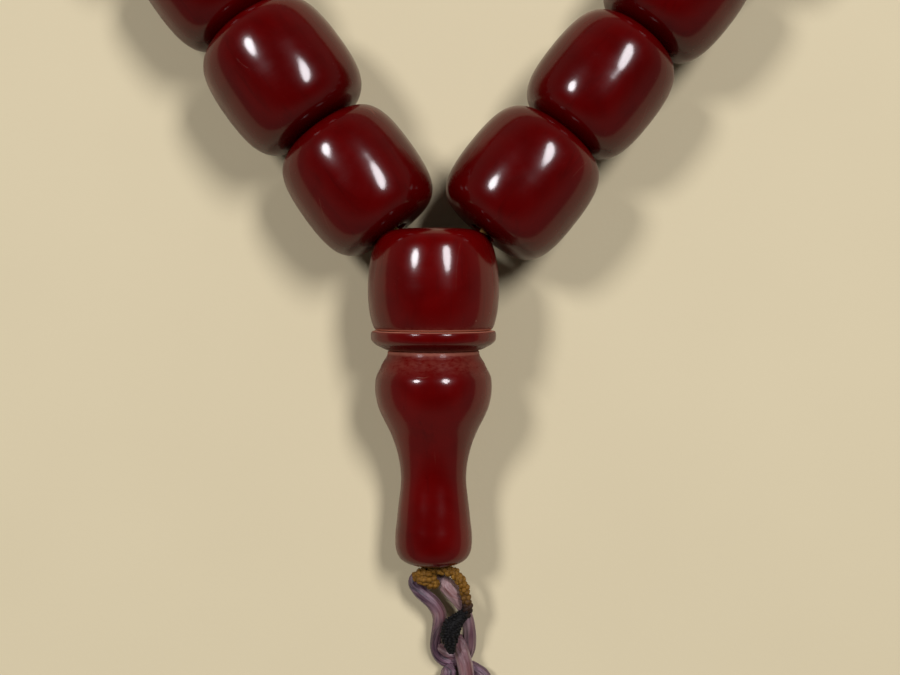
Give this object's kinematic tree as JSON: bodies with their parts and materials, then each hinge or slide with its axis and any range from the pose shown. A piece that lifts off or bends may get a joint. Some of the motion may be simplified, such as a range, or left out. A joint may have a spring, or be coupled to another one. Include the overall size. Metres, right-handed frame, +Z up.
{
  "type": "misbaha prayer beads",
  "caption": "Loop of glossy dark red barrel prayer beads with divider discs, joined by a turned leader with a knotted purple tail cord and tassel.",
  "frame": {"origin": "on the surface the beads lie on, under the middle of the string and leader without the tail cord", "axes": "+Z up from the surface, +Y from the leader to the top of the loop, +X to the right"},
  "size_m": [0.234, 0.4693, 0.0234],
  "materials": {
    "bead_resin": "gloss",
    "leader_resin": "gloss",
    "gold_thread": "matte",
    "burnt_thread": "matte",
    "purple_satin": "satin"
  },
  "bodies": {
    "cord_top": {"cord_top": "gold_thread"},
    "cord_left_1": {"cord_left_1": "gold_thread"},
    "cord_left_2": {"cord_left_2": "gold_thread"},
    "cord_left_3": {"cord_left_3": "gold_thread"},
    "cord_left_4": {"cord_left_4": "gold_thread"},
    "cord_right_1": {"cord_right_1": "gold_thread"},
    "cord_right_2": {"cord_right_2": "gold_thread"},
    "cord_right_3": {"cord_right_3": "gold_thread"},
    "cord_right_4": {"cord_right_4": "gold_thread"},
    "leader": {"leader_head": "leader_resin", "leader_cord": "gold_thread", "thread_knot": "gold_thread", "burnt_thread_end": "burnt_thread"},
    "tail": {"tail_loop": "purple_satin", "tail_chain": "purple_satin"},
    "tassel": {"end_knot": "purple_satin", "tassel": "purple_satin"},
    "bead_16": {"bead_16": "bead_resin"},
    "bead_17": {"bead_17": "bead_resin"},
    "bead_18": {"bead_18": "bead_resin"},
    "leader_collar": {"leader_collar": "leader_resin"},
    "leader_body": {"leader_body": "leader_resin"},
    "divider_left": {"divider_left": "bead_resin"},
    "divider_right": {"divider_right": "bead_resin"},
    "bead_01": {"bead_01": "bead_resin"},
    "bead_33": {"bead_33": "bead_resin"},
    "bead_02": {"bead_02": "bead_resin"},
    "bead_32": {"bead_32": "bead_resin"},
    "bead_03": {"bead_03": "bead_resin"},
    "bead_04": {"bead_04": "bead_resin"},
    "bead_05": {"bead_05": "bead_resin"},
    "bead_06": {"bead_06": "bead_resin"},
    "bead_07": {"bead_07": "bead_resin"},
    "bead_08": {"bead_08": "bead_resin"},
    "bead_09": {"bead_09": "bead_resin"},
    "bead_10": {"bead_10": "bead_resin"},
    "bead_11": {"bead_11": "bead_resin"},
    "bead_12": {"bead_12": "bead_resin"},
    "bead_13": {"bead_13": "bead_resin"},
    "bead_14": {"bead_14": "bead_resin"},
    "bead_15": {"bead_15": "bead_resin"},
    "bead_19": {"bead_19": "bead_resin"},
    "bead_20": {"bead_20": "bead_resin"},
    "bead_21": {"bead_21": "bead_resin"},
    "bead_22": {"bead_22": "bead_resin"},
    "bead_23": {"bead_23": "bead_resin"},
    "bead_24": {"bead_24": "bead_resin"},
    "bead_25": {"bead_25": "bead_resin"},
    "bead_26": {"bead_26": "bead_resin"},
    "bead_27": {"bead_27": "bead_resin"},
    "bead_28": {"bead_28": "bead_resin"},
    "bead_29": {"bead_29": "bead_resin"},
    "bead_30": {"bead_30": "bead_resin"},
    "bead_31": {"bead_31": "bead_resin"}
  },
  "joints": [
    {"name": "loop_squeeze", "type": "hinge", "parent": "cord_top", "child": "cord_left_1", "pos_m": [-0.03939, 0.15718, 0.0108], "axis": [0, 0, 1], "range_deg": [0, 6]},
    {"name": "cord_left_2_bend", "type": "hinge", "parent": "cord_left_1", "child": "cord_left_2", "pos_m": [-0.08908, 0.11703, 0.0108], "axis": [0, 0, 1], "range_deg": [-1.86, 0]},
    {"name": "cord_left_3_bend", "type": "hinge", "parent": "cord_left_2", "child": "cord_left_3", "pos_m": [-0.10236, 0.02977, 0.0108], "axis": [0, 0, 1], "range_deg": [-13.72, 0]},
    {"name": "cord_left_4_bend", "type": "hinge", "parent": "cord_left_3", "child": "cord_left_4", "pos_m": [-0.0824, -0.00819, 0.0108], "axis": [0, 0, 1], "range_deg": [0, 6.95]},
    {"name": "cord_right_1_bend", "type": "hinge", "parent": "cord_top", "child": "cord_right_1", "pos_m": [0.03967, 0.15706, 0.0108], "axis": [0, 0, 1], "range_deg": [-6.17, 0]},
    {"name": "cord_right_2_bend", "type": "hinge", "parent": "cord_right_1", "child": "cord_right_2", "pos_m": [0.08924, 0.11678, 0.0108], "axis": [0, 0, 1], "range_deg": [0, 1.86]},
    {"name": "cord_right_3_bend", "type": "hinge", "parent": "cord_right_2", "child": "cord_right_3", "pos_m": [0.10228, 0.02948, 0.0108], "axis": [0, 0, 1], "range_deg": [0, 13.72]},
    {"name": "cord_right_4_bend", "type": "hinge", "parent": "cord_right_3", "child": "cord_right_4", "pos_m": [0.08222, -0.00843, 0.0108], "axis": [0, 0, 1], "range_deg": [-6.95, 0]},
    {"name": "leader_level", "type": "hinge", "parent": "cord_left_4", "child": "leader", "pos_m": [0, -0.11717, 0.0108], "axis": [0, 0, 1], "range_deg": [0, 2.5]},
    {"name": "tail_swing", "type": "hinge", "parent": "leader", "child": "tail", "pos_m": [0.00084, -0.16395, 0.0016], "axis": [0, 0, 1], "range_deg": [-25, 25]},
    {"name": "tassel_swing", "type": "hinge", "parent": "tail", "child": "tassel", "pos_m": [0.0054, -0.24327, 0.0042], "axis": [0, 0, 1], "range_deg": [-50, 50]},
    {"name": "bead_16_slide", "type": "hinge", "parent": "cord_top", "child": "bead_16", "pos_m": [0, 0.05884, 0.0108], "axis": [0, 0, 1], "range_deg": [-2.6, 1.78]},
    {"name": "bead_17_slide", "type": "hinge", "parent": "cord_top", "child": "bead_17", "pos_m": [0, 0.05884, 0.0108], "axis": [0, 0, 1], "range_deg": [-2.6, 2.6]},
    {"name": "bead_18_slide", "type": "hinge", "parent": "cord_top", "child": "bead_18", "pos_m": [0, 0.05884, 0.0108], "axis": [0, 0, 1], "range_deg": [-1.78, 2.6]},
    {"name": "leader_collar_spin", "type": "hinge", "parent": "leader", "child": "leader_collar", "pos_m": [-0.00065, -0.11677, 0.011], "axis": [-0.0208, 0.9927, 0.1188], "continuous": true},
    {"name": "leader_body_spin", "type": "hinge", "parent": "leader", "child": "leader_body", "pos_m": [-0.00065, -0.11677, 0.011], "axis": [-0.0208, 0.9927, 0.1188], "continuous": true},
    {"name": "divider_left_spin", "type": "hinge", "parent": "cord_left_2", "child": "divider_left", "pos_m": [-0.09949, 0.09522, 0.0108], "axis": [0.3434, 0.9392, 0], "continuous": true},
    {"name": "divider_right_spin", "type": "hinge", "parent": "cord_right_2", "child": "divider_right", "pos_m": [0.09959, 0.09494, 0.0108], "axis": [0.3408, -0.9401, 0], "continuous": true},
    {"name": "bead_01_spin", "type": "hinge", "parent": "cord_left_4", "child": "bead_01", "pos_m": [-0.0133, -0.09952, 0.01085], "axis": [-0.6018, 0.7986, 0], "continuous": true},
    {"name": "bead_33_spin", "type": "hinge", "parent": "cord_right_4", "child": "bead_33", "pos_m": [0.01336, -0.09944, 0.01105], "axis": [-0.6018, -0.7986, 0], "continuous": true},
    {"name": "bead_02_spin", "type": "hinge", "parent": "cord_left_4", "child": "bead_02", "pos_m": [-0.02588, -0.08283, 0.01155], "axis": [-0.6018, 0.7986, 0], "continuous": true},
    {"name": "bead_32_spin", "type": "hinge", "parent": "cord_right_4", "child": "bead_32", "pos_m": [0.02585, -0.08287, 0.0105], "axis": [-0.6018, -0.7986, 0], "continuous": true},
    {"name": "bead_03_spin", "type": "hinge", "parent": "cord_left_4", "child": "bead_03", "pos_m": [-0.03854, -0.06602, 0.0108], "axis": [-0.6018, 0.7986, 0], "continuous": true},
    {"name": "bead_04_spin", "type": "hinge", "parent": "cord_left_4", "child": "bead_04", "pos_m": [-0.05119, -0.04924, 0.01101], "axis": [-0.6018, 0.7986, 0], "continuous": true},
    {"name": "bead_05_spin", "type": "hinge", "parent": "cord_left_4", "child": "bead_05", "pos_m": [-0.06369, -0.03266, 0.01058], "axis": [-0.6018, 0.7986, 0], "continuous": true},
    {"name": "bead_06_spin", "type": "hinge", "parent": "cord_left_4", "child": "bead_06", "pos_m": [-0.07595, -0.01639, 0.01081], "axis": [-0.6018, 0.7986, 0], "continuous": true},
    {"name": "bead_07_spin", "type": "hinge", "parent": "cord_left_3", "child": "bead_07", "pos_m": [-0.08854, 0.00069, 0.01101], "axis": [-0.549, 0.8358, 0], "continuous": true},
    {"name": "bead_08_spin", "type": "hinge", "parent": "cord_left_3", "child": "bead_08", "pos_m": [-0.09845, 0.01975, 0.01058], "axis": [-0.3691, 0.9294, 0], "continuous": true},
    {"name": "bead_09_spin", "type": "hinge", "parent": "cord_left_2", "child": "bead_09", "pos_m": [-0.10424, 0.04, 0.01081], "axis": [-0.1779, 0.9841, 0], "continuous": true},
    {"name": "bead_10_spin", "type": "hinge", "parent": "cord_left_2", "child": "bead_10", "pos_m": [-0.10591, 0.0608, 0.01101], "axis": [0.0185, 0.9998, 0], "continuous": true},
    {"name": "bead_11_spin", "type": "hinge", "parent": "cord_left_2", "child": "bead_11", "pos_m": [-0.10337, 0.08199, 0.01058], "axis": [0.2185, 0.9758, 0], "continuous": true},
    {"name": "bead_12_spin", "type": "hinge", "parent": "cord_left_2", "child": "bead_12", "pos_m": [-0.09403, 0.10762, 0.01082], "axis": [0.4605, 0.8877, 0], "continuous": true},
    {"name": "bead_13_spin", "type": "hinge", "parent": "cord_left_1", "child": "bead_13", "pos_m": [-0.08261, 0.12515, 0.01101], "axis": [0.626, 0.7799, 0], "continuous": true},
    {"name": "bead_14_spin", "type": "hinge", "parent": "cord_left_1", "child": "bead_14", "pos_m": [-0.06792, 0.14013, 0.01057], "axis": [0.7674, 0.6412, 0], "continuous": true},
    {"name": "bead_15_spin", "type": "hinge", "parent": "cord_left_1", "child": "bead_15", "pos_m": [-0.05015, 0.15215, 0.01082], "axis": [0.8808, 0.4734, 0], "continuous": true},
    {"name": "bead_19_spin", "type": "hinge", "parent": "cord_right_1", "child": "bead_19", "pos_m": [0.05041, 0.15201, 0.01082], "axis": [0.8795, -0.4759, 0], "continuous": true},
    {"name": "bead_20_spin", "type": "hinge", "parent": "cord_right_1", "child": "bead_20", "pos_m": [0.06815, 0.13994, 0.01057], "axis": [0.7655, -0.6434, 0], "continuous": true},
    {"name": "bead_21_spin", "type": "hinge", "parent": "cord_right_1", "child": "bead_21", "pos_m": [0.0828, 0.12492, 0.01101], "axis": [0.6238, -0.7816, 0], "continuous": true},
    {"name": "bead_22_spin", "type": "hinge", "parent": "cord_right_2", "child": "bead_22", "pos_m": [0.09417, 0.10735, 0.01082], "axis": [0.458, -0.889, 0], "continuous": true},
    {"name": "bead_23_spin", "type": "hinge", "parent": "cord_right_2", "child": "bead_23", "pos_m": [0.10343, 0.0817, 0.01058], "axis": [0.2158, -0.9764, 0], "continuous": true},
    {"name": "bead_24_spin", "type": "hinge", "parent": "cord_right_2", "child": "bead_24", "pos_m": [0.10591, 0.0605, 0.01101], "axis": [0.0157, -0.9999, 0], "continuous": true},
    {"name": "bead_25_spin", "type": "hinge", "parent": "cord_right_2", "child": "bead_25", "pos_m": [0.10418, 0.03971, 0.01081], "axis": [-0.1807, -0.9835, 0], "continuous": true},
    {"name": "bead_26_spin", "type": "hinge", "parent": "cord_right_3", "child": "bead_26", "pos_m": [0.09834, 0.01947, 0.01058], "axis": [-0.3717, -0.9284, 0], "continuous": true},
    {"name": "bead_27_spin", "type": "hinge", "parent": "cord_right_3", "child": "bead_27", "pos_m": [0.08837, 0.00044, 0.01101], "axis": [-0.5514, -0.8342, 0], "continuous": true},
    {"name": "bead_28_spin", "type": "hinge", "parent": "cord_right_4", "child": "bead_28", "pos_m": [0.07576, -0.01663, 0.01081], "axis": [-0.6018, -0.7986, 0], "continuous": true},
    {"name": "bead_29_spin", "type": "hinge", "parent": "cord_right_4", "child": "bead_29", "pos_m": [0.06351, -0.0329, 0.01058], "axis": [-0.6018, -0.7986, 0], "continuous": true},
    {"name": "bead_30_spin", "type": "hinge", "parent": "cord_right_4", "child": "bead_30", "pos_m": [0.05101, -0.04948, 0.01101], "axis": [-0.6018, -0.7986, 0], "continuous": true},
    {"name": "bead_31_spin", "type": "hinge", "parent": "cord_right_4", "child": "bead_31", "pos_m": [0.03836, -0.06626, 0.0108], "axis": [-0.6018, -0.7986, 0], "continuous": true}
  ],
  "couplings": [
    {"joint": "cord_left_2_bend", "follows": "loop_squeeze", "ratio": -0.295},
    {"joint": "cord_left_3_bend", "follows": "loop_squeeze", "ratio": -2.233},
    {"joint": "cord_left_4_bend", "follows": "loop_squeeze", "ratio": 1.128},
    {"joint": "cord_right_1_bend", "follows": "loop_squeeze", "ratio": -1},
    {"joint": "cord_right_2_bend", "follows": "loop_squeeze", "ratio": 0.295},
    {"joint": "cord_right_3_bend", "follows": "loop_squeeze", "ratio": 2.233},
    {"joint": "cord_right_4_bend", "follows": "loop_squeeze", "ratio": -1.128},
    {"joint": "leader_level", "follows": "loop_squeeze", "ratio": 0.4}
  ]
}
